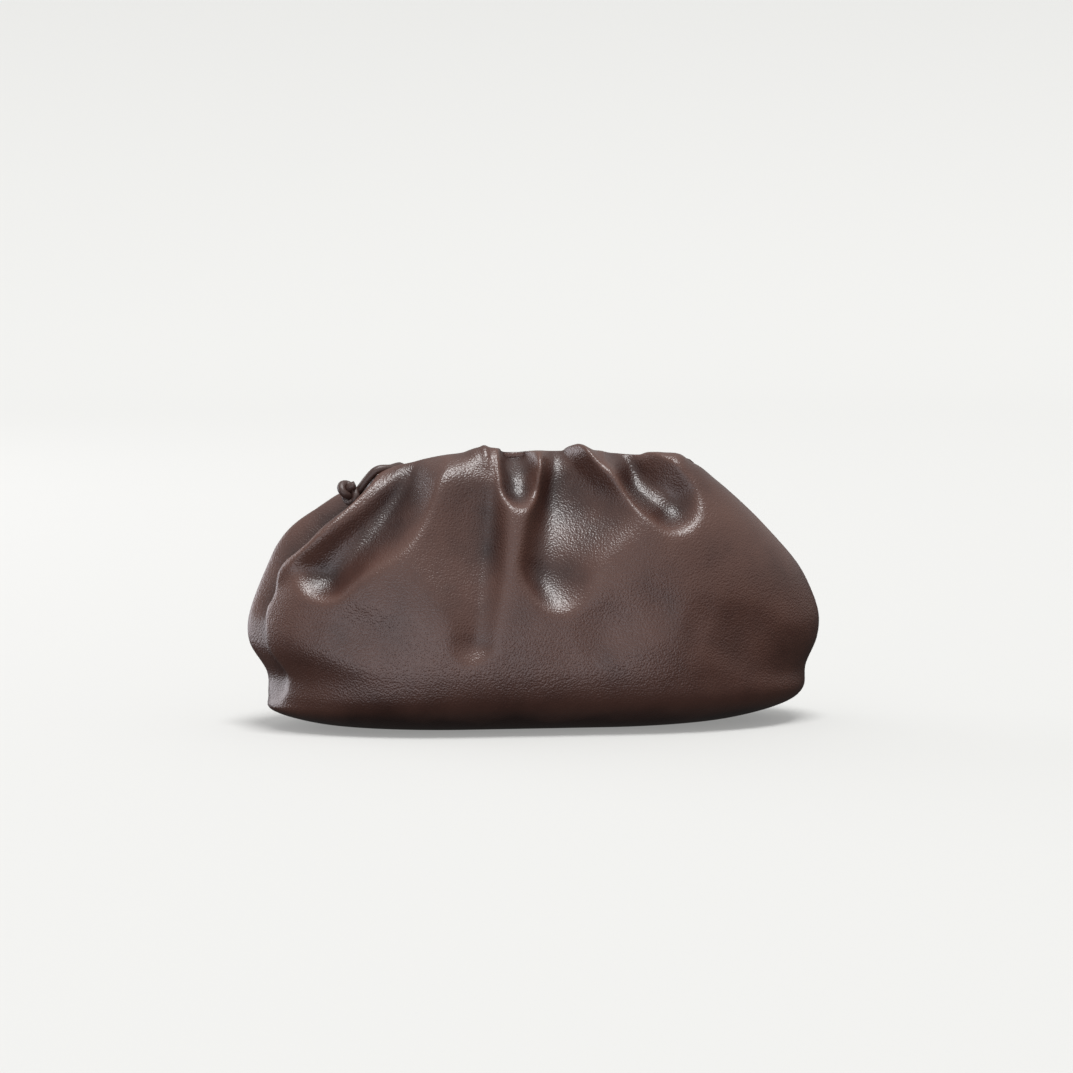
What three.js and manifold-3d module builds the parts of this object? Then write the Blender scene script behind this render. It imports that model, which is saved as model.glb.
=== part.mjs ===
// A soft leather pouch bag, gathered in deep pleats on an arched rim, with a knotted strap end at each end of its mouth.
// Millimetres, +Z up, front towards -Y. It stands on Z = 0 with the origin under its middle.
import * as THREE from "three";
import { mergeVertices } from "three/addons/utils/BufferGeometryUtils.js";
import Module from "manifold-3d";

// Driving dimensions
const bagWidth = 310;
const bagDepth = 132;
const bagHeight = 156.5; // what the heights below are shares of, a little over the pleats' own tops
const leatherThickness = 1.5;
const mouthLength = 172; // the rim's outside length
const mouthGap = 7; // the clear way between the rim's two bars
const rimWidth = 4.4;
const rimTall = 6;
const rimMiddleUp = 0.885; // height of the rim's middle and ends, as shares of bagHeight
const rimEndUp = 0.835;
const strapWide = 4.2; // a strap end's size from front to back
const strapThick = 3.2;
const knotWidth = 16;
const knotFromMouth = 14.5; // from the rim's end to a knot's middle
const leftKnotBack = -12; // from the mouth's middle line back to a knot's middle
const rightKnotBack = 7;
const seatGap = 0.3; // between a piece and what it rests on or is held by

const halfWidth = bagWidth / 2;
const halfDepth = bagDepth / 2;
const mouthHalfLength = mouthLength / 2 + seatGap;
const mouthHalfDepth = mouthGap / 2 + rimWidth + seatGap;
const mouthCap = mouthHalfDepth / mouthHalfLength;
const hollowGap = 1; // the least gap inside, between the leather outside the mouth and the leather that lines it

// Closed sections from the edge of the flat base, up the outside, over the gathered roll and down to the rim.
// on: whose half sizes left and right, front and back are shares of. cap: length of a section's round ends, a share of
// its half width. up: height in its middle, leftSag and rightSag: how far its ends hang below that, backDown: how much
// lower its back is, all shares of bagHeight. On the mouth, these are measured from the rim's arch. steps: mesh steps up
// to the next section.
const sections = [
  { on: "bag", left: 0.6, right: 0.52, front: 0.42, back: 0.54, cap: 0.6,
    up: 0, leftSag: 0, rightSag: 0, backDown: 0, steps: 1 },
  { on: "bag", left: 0.77, right: 0.71, front: 0.62, back: 0.7, cap: 0.62,
    up: 0.018, leftSag: 0, rightSag: 0, backDown: 0, steps: 1 },
  { on: "bag", left: 0.91, right: 0.875, front: 0.8, back: 0.85, cap: 0.66,
    up: 0.06, leftSag: 0, rightSag: 0, backDown: 0, steps: 1 },
  { on: "bag", left: 0.92, right: 0.945, front: 0.93, back: 0.95, cap: 0.68,
    up: 0.11, leftSag: 0, rightSag: 0, backDown: 0, steps: 1 },
  { on: "bag", left: 0.925, right: 0.955, front: 0.99, back: 0.99, cap: 0.72,
    up: 0.19, leftSag: 0, rightSag: 0, backDown: 0, steps: 2 },
  { on: "bag", left: 0.985, right: 0.995, front: 1.0, back: 1.0, cap: 0.74,
    up: 0.29, leftSag: 0, rightSag: 0, backDown: 0, steps: 2 },
  { on: "bag", left: 0.985, right: 0.995, front: 0.985, back: 0.98, cap: 0.75,
    up: 0.39, leftSag: 0, rightSag: 0, backDown: 0, steps: 3 },
  { on: "bag", left: 0.935, right: 0.94, front: 0.93, back: 0.91, cap: 0.7,
    up: 0.55, leftSag: 0.02, rightSag: 0.02, backDown: 0, steps: 3 },
  { on: "bag", left: 0.865, right: 0.81, front: 0.84, back: 0.8, cap: 0.62,
    up: 0.725, leftSag: 0.05, rightSag: 0.05, backDown: 0, steps: 4 },
  { on: "bag", left: 0.745, right: 0.7, front: 0.68, back: 0.64, cap: 0.62,
    up: 0.87, leftSag: 0.09, rightSag: 0.1, backDown: 0.03, steps: 3 },
  { on: "mouth", left: 1.05, right: 1.12, front: 3.2, back: 3.2, cap: 0.4,
    up: 0.058, leftSag: 0.012, rightSag: 0.07, backDown: 0.055, steps: 2 },
  { on: "mouth", left: 1.02, right: 1.02, front: 1.35, back: 1.35, cap: mouthCap,
    up: 0.03, leftSag: 0.04, rightSag: 0.04, backDown: 0.01, steps: 1 },
  { on: "mouth", left: 1, right: 1, front: 1, back: 1, cap: mouthCap,
    up: -0.02, leftSag: 0, rightSag: 0, backDown: 0, steps: 0 },
];
const sagPower = { left: 3, right: 6 }; // how late the left and right ends turn down

// The hollows and rolls of the gathers. Each runs from its top, near the mouth, to its foot, at places [across, up]:
// across is a share of the half width, or of the half depth on the left and right, and up a share of bagHeight. bow: how
// far the middle of its line swings sideways, a share of its length. plusWide and minusWide: how far it reaches at its
// top, middle and foot, towards +X (+Y on the left and right) and the other way, shares of bagHeight. deep: its depths
// at those places, shares of bagDepth, less than 0 for a roll. drop: how much it goes down as it goes in. plusBowl and
// minusBowl: 1 for a V, 2 for a round bowl, more for steep walls. soft: how softly it meets the leather round it.
const folds = [
  { face: "front", name: "left scoop", top: [-0.42, 0.93], foot: [-0.775, 0.54], bow: 0,
    plusWide: [0.09, 0.15, 0.085], minusWide: [0.07, 0.1, 0.09], deep: [0.05, 0.15, 0.09],
    drop: 0.1, plusBowl: 1.6, minusBowl: 2.2, soft: 0.15 },
  { face: "front", name: "long scoop", top: [-0.18, 0.9], foot: [-0.25, 0.33], bow: 0,
    plusWide: [0.04, 0.05, 0.05], minusWide: [0.1, 0.28, 0.09], deep: [0.03, 0.085, 0.035],
    drop: 0.1, plusBowl: 2, minusBowl: 1.4, soft: 0.3 },
  { face: "front", name: "upright pocket", top: [-0.082, 1.0], foot: [-0.086, 0.838], bow: 0,
    plusWide: [0.06, 0.065, 0.072], minusWide: [0.06, 0.065, 0.07], deep: [0.04, 0.13, 0.12],
    drop: 0.1, plusBowl: 3, minusBowl: 3, soft: 0.1 },
  { face: "front", name: "middle scoop", top: [0.07, 0.95], foot: [0, 0.57], bow: 0,
    plusWide: [0.08, 0.26, 0.16], minusWide: [0.06, 0.085, 0.1], deep: [0.1, 0.165, 0.08],
    drop: 0.1, plusBowl: 1.5, minusBowl: 2.4, soft: 0.16 },
  { face: "front", name: "slanting pocket", top: [0.26, 0.93], foot: [0.435, 0.775], bow: 0,
    plusWide: [0.04, 0.08, 0.09], minusWide: [0.05, 0.09, 0.095], deep: [0.05, 0.14, 0.11],
    drop: 0.35, plusBowl: 2.6, minusBowl: 1.5, soft: 0.14 },
  { face: "front", name: "left puff", top: [-0.2, 0.95], foot: [-0.15, 0.95], bow: 0,
    plusWide: [0.06, 0.08, 0.08], minusWide: [0.055, 0.06, 0.06], deep: [-0.025, -0.035, -0.02],
    drop: 1, plusBowl: 1.5, minusBowl: 1.5, soft: 0.3 },
  { face: "front", name: "pointed fold", top: [0.12, 0.96], foot: [0.19, 0.87], bow: 0,
    plusWide: [0.04, 0.04, 0.04], minusWide: [0.04, 0.04, 0.04], deep: [-0.03, -0.03, -0.01],
    drop: 1, plusBowl: 1.3, minusBowl: 1.3, soft: 0.15 },
  { face: "front", name: "right shoulder", top: [0.43, 0.93], foot: [0.52, 0.88], bow: 0,
    plusWide: [0.09, 0.09, 0.09], minusWide: [0.08, 0.08, 0.08], deep: [-0.02, -0.025, -0.01],
    drop: 1, plusBowl: 1.5, minusBowl: 1.5, soft: 0.3 },
  { face: "front", name: "left fold edge", top: [-0.49, 0.92], foot: [-0.93, 0.5], bow: 0,
    plusWide: [0.03, 0.035, 0.035], minusWide: [0.035, 0.04, 0.04], deep: [-0.015, -0.02, -0.02],
    drop: 0.1, plusBowl: 1.1, minusBowl: 1.1, soft: 0.1 },
  { face: "front", name: "hollow behind the left fold", top: [-0.56, 0.94], foot: [-0.966, 0.55], bow: 0,
    plusWide: [0.04, 0.045, 0.045], minusWide: [0.1, 0.1, 0.1], deep: [0.05, 0.11, 0.05],
    drop: 0.1, plusBowl: 2.6, minusBowl: 1.5, soft: 0.1 },
  { face: "front", name: "right dent", top: [0.55, 0.36], foot: [0.85, 0.24], bow: 0,
    plusWide: [0.1, 0.12, 0.1], minusWide: [0.1, 0.12, 0.1], deep: [0.01, 0.035, 0.02],
    drop: 0, plusBowl: 2, minusBowl: 2, soft: 0.5 },
  { face: "left", name: "left tuck", top: [-0.14, 0.88], foot: [-0.2, 0.47], bow: 0,
    plusWide: [0.12, 0.15, 0.13], minusWide: [0.06, 0.07, 0.06], deep: [0.1, 0.2, 0.1],
    drop: 0.1, plusBowl: 1.5, minusBowl: 2.6, soft: 0.1 },
  { face: "left", name: "left side valley", top: [-0.2, 0.5], foot: [-0.42, 0.16], bow: 0,
    plusWide: [0.1, 0.12, 0.12], minusWide: [0.045, 0.045, 0.045], deep: [0.06, 0.06, 0.03],
    drop: 0, plusBowl: 1.5, minusBowl: 2.4, soft: 0.1 },
  { face: "right", name: "right tuck", top: [0.12, 0.9], foot: [0.15, 0.52], bow: 0,
    plusWide: [0.1, 0.13, 0.16], minusWide: [0.09, 0.13, 0.16], deep: [0.12, 0.14, 0.04],
    drop: 0.3, plusBowl: 1.8, minusBowl: 1.8, soft: 0.12 },
  { face: "back", name: "back left scoop", top: [-0.4, 0.95], foot: [-0.62, 0.5], bow: -0.12,
    plusWide: [0.08, 0.16, 0.16], minusWide: [0.08, 0.12, 0.14], deep: [0.08, 0.12, 0.05],
    drop: 0.3, plusBowl: 1.7, minusBowl: 1.7, soft: 0.2 },
  { face: "back", name: "back pocket", top: [-0.15, 0.97], foot: [-0.19, 0.76], bow: 0.1,
    plusWide: [0.06, 0.08, 0.09], minusWide: [0.06, 0.08, 0.09], deep: [0.1, 0.14, 0.1],
    drop: 0.3, plusBowl: 2.2, minusBowl: 2.2, soft: 0.12 },
  { face: "back", name: "back middle scoop", top: [0.08, 0.95], foot: [0.13, 0.4], bow: 0.1,
    plusWide: [0.07, 0.12, 0.14], minusWide: [0.07, 0.18, 0.2], deep: [0.08, 0.14, 0.04],
    drop: 0.3, plusBowl: 1.6, minusBowl: 1.6, soft: 0.2 },
  { face: "back", name: "back right scoop", top: [0.35, 0.95], foot: [0.7, 0.58], bow: -0.1,
    plusWide: [0.07, 0.12, 0.14], minusWide: [0.07, 0.1, 0.12], deep: [0.08, 0.13, 0.06],
    drop: 0.3, plusBowl: 1.8, minusBowl: 1.8, soft: 0.15 },
];

// Mesh steps round a section
const frontSteps = 44;
const backSteps = 28;
const endSteps = 10;
const endsFrom = 0.93; // where the round ends' own steps begin, as a share of the half width

const smooth = (low, high, value) => THREE.MathUtils.smoothstep(value, low, high);
const mix = THREE.MathUtils.lerp;
const archHeight = (share) => bagHeight * mix(rimMiddleUp, rimEndUp, Math.abs(share) ** 3);

// A section's sizes in millimetres
function sized(section) {
  const onMouth = section.on === "mouth";
  const [halfX, halfY] = onMouth ? [mouthHalfLength, mouthHalfDepth] : [halfWidth, halfDepth];
  return {
    left: section.left * halfX,
    right: section.right * halfX,
    front: section.front * halfY,
    back: section.back * halfY,
    cap: section.cap,
    up: bagHeight * (section.up + (onMouth ? rimMiddleUp : 0)),
    arch: onMouth ? archHeight(0) - archHeight(1) : 0,
    leftSag: bagHeight * section.leftSag,
    rightSag: bagHeight * section.rightSag,
    backDown: bagHeight * section.backDown,
  };
}
const sizedSections = sections.map(sized);
const lastLevel = sections.length - 1;

// A size between the sections, on a smooth curve through them
function sizeAt(level, size) {
  const from = Math.min(Math.floor(level), lastLevel - 1);
  const value = (index) => sizedSections[THREE.MathUtils.clamp(index, 0, lastLevel)][size];
  const [a, b, c, d] = [value(from - 1), value(from), value(from + 1), value(from + 2)];
  const t = level - from;
  return b + 0.5 * t * (c - a + t * (2 * a - 5 * b + 4 * c - d + t * (3 * (b - c) + d - a)));
}

// The unpleated form: a point for a direction round the bag and a level up the sections
function plainPoint(direction, level) {
  const wide = sizeAt(level, direction.x < 0 ? "left" : "right");
  const deep = sizeAt(level, direction.y < 0 ? "front" : "back");
  const cap = sizeAt(level, "cap");
  const out = Math.abs(direction.x);
  const intoCap = Math.max(0, out - (1 - cap)) / cap;
  const roundEnd = Math.sqrt(Math.max(0, 1 - intoCap * intoCap));
  const end = direction.x < 0 ? "left" : "right";
  const sag = sizeAt(level, `${end}Sag`) * out ** sagPower[end] + sizeAt(level, "arch") * out ** 3;
  const behind = sizeAt(level, "backDown") * smooth(-0.3, 0.6, direction.y);
  const height = sizeAt(level, "up") - sag - behind;
  return new THREE.Vector3(wide * direction.x, deep * roundEnd * Math.sign(direction.y), Math.max(0, height));
}

// Directions round the bag: even steps across the front and back, and even angles round the ends
function directionsRound() {
  const endAngle = Math.acos(endsFrom);
  const across = (steps, from, to, side) => Array.from({ length: steps }, (_, i) => {
    const x = mix(from, to, i / steps);
    return new THREE.Vector2(x, side * Math.sqrt(1 - x * x));
  });
  const around = (middle) => Array.from({ length: endSteps }, (_, i) => {
    const angle = middle + endAngle * mix(-1, 1, i / endSteps);
    return new THREE.Vector2(Math.cos(angle), Math.sin(angle));
  });
  return [
    ...across(frontSteps, -endsFrom, endsFrom, -1),
    ...around(0),
    ...across(backSteps, endsFrom, -endsFrom, 1),
    ...around(Math.PI),
  ];
}

// Each fold's line, in millimetres across and up its face
for (const fold of folds) {
  const onFront = fold.face === "front" || fold.face === "back";
  const acrossSize = onFront ? halfWidth : halfDepth;
  const [top, foot] = [fold.top, fold.foot].map(([across, up]) =>
    new THREE.Vector2(across * acrossSize, up * bagHeight));
  const along = foot.clone().sub(top);
  const sideways = new THREE.Vector2(-along.y, along.x).multiplyScalar(2 * fold.bow);
  const middle = top.clone().add(foot).multiplyScalar(0.5).add(sideways);
  fold.line = new THREE.QuadraticBezierCurve(top, middle, foot).getPoints(12);
}

// The nearest place on a fold's line: how far along it is (0 to 1), how far away, and how squarely on its + side
function nearestOnLine(line, point) {
  let best = { distance: Infinity };
  for (let i = 0; i + 1 < line.length; i++) {
    const step = line[i + 1].clone().sub(line[i]);
    const share = THREE.MathUtils.clamp(point.clone().sub(line[i]).dot(step) / step.lengthSq(), 0, 1);
    const away = point.clone().sub(line[i].clone().addScaledVector(step, share));
    const distance = away.length();
    if (distance < best.distance) {
      const side = distance > 0 ? step.cross(away) / (step.length() * distance) : 0;
      best = { distance, side, along: (i + share) / (line.length - 1) };
    }
  }
  return best;
}

// How strongly a face's folds act at a point: fully on that face, fading at its edges and towards the rim
function faceShare(face, point, direction, level) {
  const awayFromRim = 1 - smooth(lastLevel - 2.2, lastLevel - 1, level);
  const side = { front: -1, back: 1, left: -1, right: 1 }[face];
  if (face === "front" || face === "back")
    return awayFromRim * smooth(0, 0.12 * halfDepth, side * point.y);
  return awayFromRim * smooth(0.45, 0.85, side * direction.x);
}

// A size given at a fold's top, middle and foot, at a place along it
function through([top, middle, foot], along) {
  const t = Math.sin((along * Math.PI) / 2) ** 1.3; // levels out towards the foot
  return mix(top, foot, t) + 4 * t * (1 - t) * (middle - (top + foot) / 2);
}

// How far a fold presses the leather in at a point of its face, or out, less than 0, where it is a roll
function pressAt(fold, flat) {
  const near = nearestOnLine(fold.line, flat);
  const onPlus = smooth(-0.8, 0.8, near.side);
  const wide = bagHeight * mix(through(fold.minusWide, near.along), through(fold.plusWide, near.along), onPlus);
  const inside = 1 - Math.min(near.distance / wide, 3) ** mix(fold.minusBowl, fold.plusBowl, onPlus);
  const shape = (inside + Math.hypot(inside, fold.soft)) / (1 + Math.hypot(1, fold.soft));
  return bagDepth * through(fold.deep, near.along) * shape;
}

// A point of the outside, moved out where a deep fold would take it through the leather that lines the mouth
function clearOfMouth(point, level) {
  const clear = 2 * leatherThickness + hollowGap;
  const radius = mouthHalfDepth + clear;
  const straight = mouthHalfLength - mouthHalfDepth;
  const nearest = new THREE.Vector2(THREE.MathUtils.clamp(point.x, -straight, straight), 0);
  const away = new THREE.Vector2(point.x, point.y).sub(nearest);
  const missing = Math.max(0, radius - away.length()) * (1 - smooth(lastLevel - 2, lastLevel - 1, level));
  away.setLength(away.length() + missing).add(nearest);
  return point.set(away.x, away.y, point.z);
}

// The pleated form: the plain form with every fold pressed in level, square to its outline
function pleatedPoint(direction, level) {
  const nudge = 0.01;
  const point = plainPoint(direction, level);
  // the roll over the top moves in as one with the wall under it
  const steady = THREE.MathUtils.clamp(level, nudge, lastLevel - 2.6);
  const turned = (angle) => plainPoint(direction.clone().rotateAround(new THREE.Vector2(), angle), steady);
  const moved = (step) => plainPoint(direction, steady + step);
  const roundStep = turned(nudge).sub(turned(-nudge));
  const upStep = moved(nudge).sub(moved(-nudge));
  const outwards = roundStep.cross(upStep).setZ(0).normalize();
  let [hollows, rolls, drops] = [0, 0, 0];
  for (const fold of folds) {
    const share = faceShare(fold.face, point, direction, level);
    if (share === 0) continue;
    const onFront = fold.face === "front" || fold.face === "back";
    const press = share * pressAt(fold, new THREE.Vector2(onFront ? point.x : point.y, point.z));
    hollows += Math.max(press, 0) ** 3;
    rolls += Math.min(press, 0);
    drops += (fold.drop * press) ** 3;
  }
  point.addScaledVector(outwards, -Math.cbrt(hollows) - rolls);
  point.z -= Math.cbrt(drops);
  const pleated = clearOfMouth(point, level);
  pleated.z = Math.max(0, pleated.z);
  return pleated;
}

// The leather shell: an outer and an inner skin on the same grid, closed under the base and along the mouth's edge
function leatherShell() {
  const round = directionsRound();
  const levels = sections.flatMap((section, index) =>
    Array.from({ length: section.steps }, (_, step) => index + step / section.steps));
  levels.push(lastLevel);
  const points = levels.flatMap((level) => round.map((direction) => pleatedPoint(direction, level)));
  points.push(new THREE.Vector3(0, 0, 0));
  const middle = points.length - 1;
  const count = round.length;
  const skin = [];
  for (let row = 0; row + 1 < levels.length; row++)
    for (let i = 0; i < count; i++) {
      const [a, b] = [row * count + i, row * count + ((i + 1) % count)];
      skin.push([a, b, b + count], [a, b + count, a + count]);
    }
  for (let i = 0; i < count; i++) skin.push([middle, (i + 1) % count, i]);

  const outer = new THREE.BufferGeometry().setFromPoints(points).setIndex(skin.flat());
  outer.computeVertexNormals();
  const normals = outer.getAttribute("normal");
  const inner = points.map((point, i) =>
    point.clone().addScaledVector(new THREE.Vector3().fromBufferAttribute(normals, i), -leatherThickness));

  const inside = points.length;
  const lastRow = (levels.length - 1) * count;
  const faces = [...skin, ...skin.map(([a, b, c]) => [a + inside, c + inside, b + inside])];
  for (let i = 0; i < count; i++) {
    const [a, b] = [lastRow + i, lastRow + ((i + 1) % count)];
    faces.push([a, b, b + inside], [a, b + inside, a + inside]);
  }
  return new THREE.BufferGeometry().setFromPoints([...points, ...inner]).setIndex(faces.flat());
}

// A bar of oval section along a path, square to the way up: a closed loop, or a bar with two flat ends
function ovalBar(path, up, across, tall, sides, isLoop) {
  const count = path.length;
  const points = path.flatMap((middle, i) => {
    const before = isLoop ? (i + count - 1) % count : Math.max(i - 1, 0);
    const after = isLoop ? (i + 1) % count : Math.min(i + 1, count - 1);
    const along = path[after].clone().sub(path[before]).normalize();
    const sideways = along.clone().cross(up).normalize();
    const upwards = sideways.clone().cross(along);
    return Array.from({ length: sides }, (_, k) => {
      const angle = (2 * Math.PI * k) / sides;
      return middle.clone()
        .addScaledVector(sideways, (across / 2) * Math.cos(angle))
        .addScaledVector(upwards, (tall / 2) * Math.sin(angle));
    });
  });
  const faces = [];
  for (let i = 0; i < (isLoop ? count : count - 1); i++)
    for (let k = 0; k < sides; k++) {
      const [a, b] = [i * sides + k, i * sides + ((k + 1) % sides)];
      const [c, d] = [a, b].map((index) => (index + sides) % points.length);
      faces.push([a, d, b], [a, c, d]);
    }
  if (!isLoop)
    for (let k = 1; k + 1 < sides; k++) {
      const end = (count - 1) * sides;
      faces.push([0, k, k + 1], [end, end + k + 1, end + k]);
    }
  return new THREE.BufferGeometry().setFromPoints(points).setIndex(faces.flat());
}

// The rim: one bound bar bent into a slim arched loop that lines the mouth
function mouthRim() {
  const endRadius = (mouthGap + rimWidth) / 2;
  const straight = mouthLength - rimWidth - 2 * endRadius;
  const [straightSteps, bendSteps] = [14, 8];
  const path = [];
  for (const side of [-1, 1]) {
    for (let i = 0; i < straightSteps; i++)
      path.push(new THREE.Vector3(-side * straight * (i / straightSteps - 0.5), side * endRadius, 0));
    for (let i = 0; i < bendSteps; i++) {
      const angle = side * (Math.PI / 2) + (Math.PI * i) / bendSteps;
      path.push(new THREE.Vector3(-side * straight / 2 + endRadius * Math.cos(angle), endRadius * Math.sin(angle), 0));
    }
  }
  for (const point of path) point.z = archHeight((2 * point.x) / mouthLength);
  return ovalBar(path, new THREE.Vector3(0, 0, 1), rimWidth, rimTall, 8, true);
}

const manifold = await Module();
manifold.setup();

// A closed geometry as a solid that can be joined, and back again
function toSolid(geometry) {
  const merged = mergeVertices(geometry, 1e-4);
  return new manifold.Manifold(new manifold.Mesh({
    numProp: 3,
    vertProperties: new Float32Array(merged.getAttribute("position").array),
    triVerts: new Uint32Array(merged.index.array),
  }));
}

function toGeometry(solid) {
  const mesh = solid.getMesh();
  const geometry = new THREE.BufferGeometry();
  geometry.setAttribute("position", new THREE.BufferAttribute(new Float32Array(mesh.vertProperties), 3));
  geometry.setIndex(new THREE.BufferAttribute(new Uint32Array(mesh.triVerts), 1));
  return geometry;
}

// The leather's highest point under a place, or nothing where there is none
function leatherTop(leatherGeometry, place) {
  const position = leatherGeometry.getAttribute("position");
  const index = leatherGeometry.index;
  const [a, b, c, weights] = [0, 1, 2, 3].map(() => new THREE.Vector3());
  const flat = new THREE.Vector3(place.x, place.y, 0);
  let top = -Infinity;
  for (let i = 0; i < index.count; i += 3) {
    const corners = [a, b, c];
    corners.forEach((corner, k) => corner.fromBufferAttribute(position, index.getX(i + k)));
    const heights = corners.map((corner) => corner.z);
    corners.forEach((corner) => corner.setZ(0));
    const found = THREE.Triangle.getBarycoord(flat, a, b, c, weights);
    if (found && Math.min(weights.x, weights.y, weights.z) >= 0)
      top = Math.max(top, weights.x * heights[0] + weights.y * heights[1] + weights.z * heights[2]);
  }
  return top;
}

// A strap end's way out of the mouth and over the rim's end: places beyond the rim's end, how far along the way back
// to the knot's middle, and how high above its seat on the rim
const strapWay = [
  { beyond: -17, backShare: 0.05, up: -6 },
  { beyond: -15, backShare: 0.12, up: 2.2 },
  { beyond: -8, backShare: 0.8, up: 3.6 },
  { beyond: 0.5, backShare: 1, up: 1 },
];
const knotTurn = { from: 5.74, to: 11.0, steps: 16 }; // along an open trefoil, in radians
const strapSteps = 44; // along a whole strap end
const strapSides = 6;
const strapPieces = 4; // short stretches that are joined, because the knot crosses itself

// A strap end, tied in an overhand knot that lies in the tuck beside the mouth
function strapKnot(side, backFromMiddle, leatherGeometry) {
  const loopRadius = (knotWidth - strapThick) / 6;
  const rimEnd = mouthLength / 2;
  const overRim = archHeight(1) + (rimTall + strapThick) / 2 + 2 * seatGap;
  const knotAcross = rimEnd + knotFromMouth;
  const trefoil = Array.from({ length: knotTurn.steps + 1 }, (_, i) => {
    const t = mix(knotTurn.from, knotTurn.to, i / knotTurn.steps);
    return new THREE.Vector3(
      side * (knotAcross + loopRadius * (Math.sin(t) + 2 * Math.sin(2 * t))),
      backFromMiddle - (strapWide / 2) * Math.sin(3 * t),
      loopRadius * (Math.cos(t) - 2 * Math.cos(2 * t)),
    );
  });
  const facing = new THREE.Vector3(0, -1, 0);
  const bar = (path) => ovalBar(path, facing, strapThick, strapWide, strapSides, false);
  const loose = bar(trefoil).getAttribute("position");
  const places = Array.from({ length: loose.count }, (_, i) => new THREE.Vector3().fromBufferAttribute(loose, i));
  const knotUp = Math.max(...places.map((place) => leatherTop(leatherGeometry, place) - place.z)) + 2 * seatGap;
  for (const point of trefoil) point.z += knotUp;
  const strap = strapWay.map(({ beyond, backShare, up }) =>
    new THREE.Vector3(side * (rimEnd + beyond), backShare * backFromMiddle, overRim + up));
  const curve = new THREE.CatmullRomCurve3([...strap, ...trefoil], false, "centripetal");
  const whole = curve.getPoints(strapSteps);
  const pieces = Array.from({ length: strapPieces }, (_, i) => {
    const [from, to] = [i, i + 1].map((piece) => Math.round((strapSteps * piece) / strapPieces));
    return toSolid(bar(whole.slice(from, to + 1)));
  });
  return toGeometry(pieces.reduce((joined, piece) => joined.add(piece)));
}

const leather = new THREE.MeshStandardMaterial({ color: 0x4a332e, roughness: 0.42, metalness: 0 });
const edgeLeather = new THREE.MeshStandardMaterial({ color: 0x3c2925, roughness: 0.5, metalness: 0 });

const bag = new THREE.Group();
function addPiece(name, geometry, material) {
  const mesh = new THREE.Mesh(geometry, material);
  mesh.name = name;
  bag.add(mesh);
}
const leatherBody = leatherShell();
addPiece("leather_body", leatherBody, leather);
addPiece("mouth_rim", mouthRim(), edgeLeather);
addPiece("knot_left", strapKnot(-1, leftKnotBack, leatherBody), edgeLeather);
addPiece("knot_right", strapKnot(1, rightKnotBack, leatherBody), edgeLeather);

export default bag;
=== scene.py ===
from math import acos, cos, pi, radians, sin, sqrt
import bpy
import numpy as np
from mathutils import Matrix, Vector
from mathutils.bvhtree import BVHTree


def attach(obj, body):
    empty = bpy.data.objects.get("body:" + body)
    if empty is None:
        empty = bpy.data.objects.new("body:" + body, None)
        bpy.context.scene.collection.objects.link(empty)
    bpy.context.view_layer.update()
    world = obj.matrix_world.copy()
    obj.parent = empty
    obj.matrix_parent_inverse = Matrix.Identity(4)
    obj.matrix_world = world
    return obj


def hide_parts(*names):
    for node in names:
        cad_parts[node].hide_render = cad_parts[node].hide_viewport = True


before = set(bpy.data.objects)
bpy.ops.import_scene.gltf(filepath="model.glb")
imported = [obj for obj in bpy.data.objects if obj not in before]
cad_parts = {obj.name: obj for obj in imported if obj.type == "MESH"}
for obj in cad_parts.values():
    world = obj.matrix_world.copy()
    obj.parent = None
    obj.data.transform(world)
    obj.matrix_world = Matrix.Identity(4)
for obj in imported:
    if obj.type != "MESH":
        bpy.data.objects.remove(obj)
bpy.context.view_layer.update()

# metres, +Z up, front towards -Y, as in the frame
bag = {
    "width": 0.310,
    "depth": 0.132,
    "height": 0.1565,  # what the heights are shares of, a little over the pleats' own tops
    "leather": 0.0015,
    "mouthLength": 0.172,
    "mouthGap": 0.007,
    "rimWide": 0.0044,
    "rimTall": 0.006,
    "rimMiddleUp": 0.885,  # shares of the height
    "rimEndUp": 0.835,
    "seatGap": 0.0003,
    "hollowGap": 0.001,
}
halfWidth = bag["width"] / 2
halfDepth = bag["depth"] / 2
mouthHalfLength = bag["mouthLength"] / 2 + bag["seatGap"]
mouthHalfDepth = bag["mouthGap"] / 2 + bag["rimWide"] + bag["seatGap"]
mouthCap = mouthHalfDepth / mouthHalfLength


def deselectAll():
    if bpy.context.object and bpy.context.object.mode != "OBJECT":
        bpy.ops.object.mode_set(mode="OBJECT")
    bpy.ops.object.select_all(action="DESELECT")


def smooth(low, high, value):
    t = np.clip((value - low) / (high - low), 0, 1)
    return t * t * (3 - 2 * t)


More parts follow.
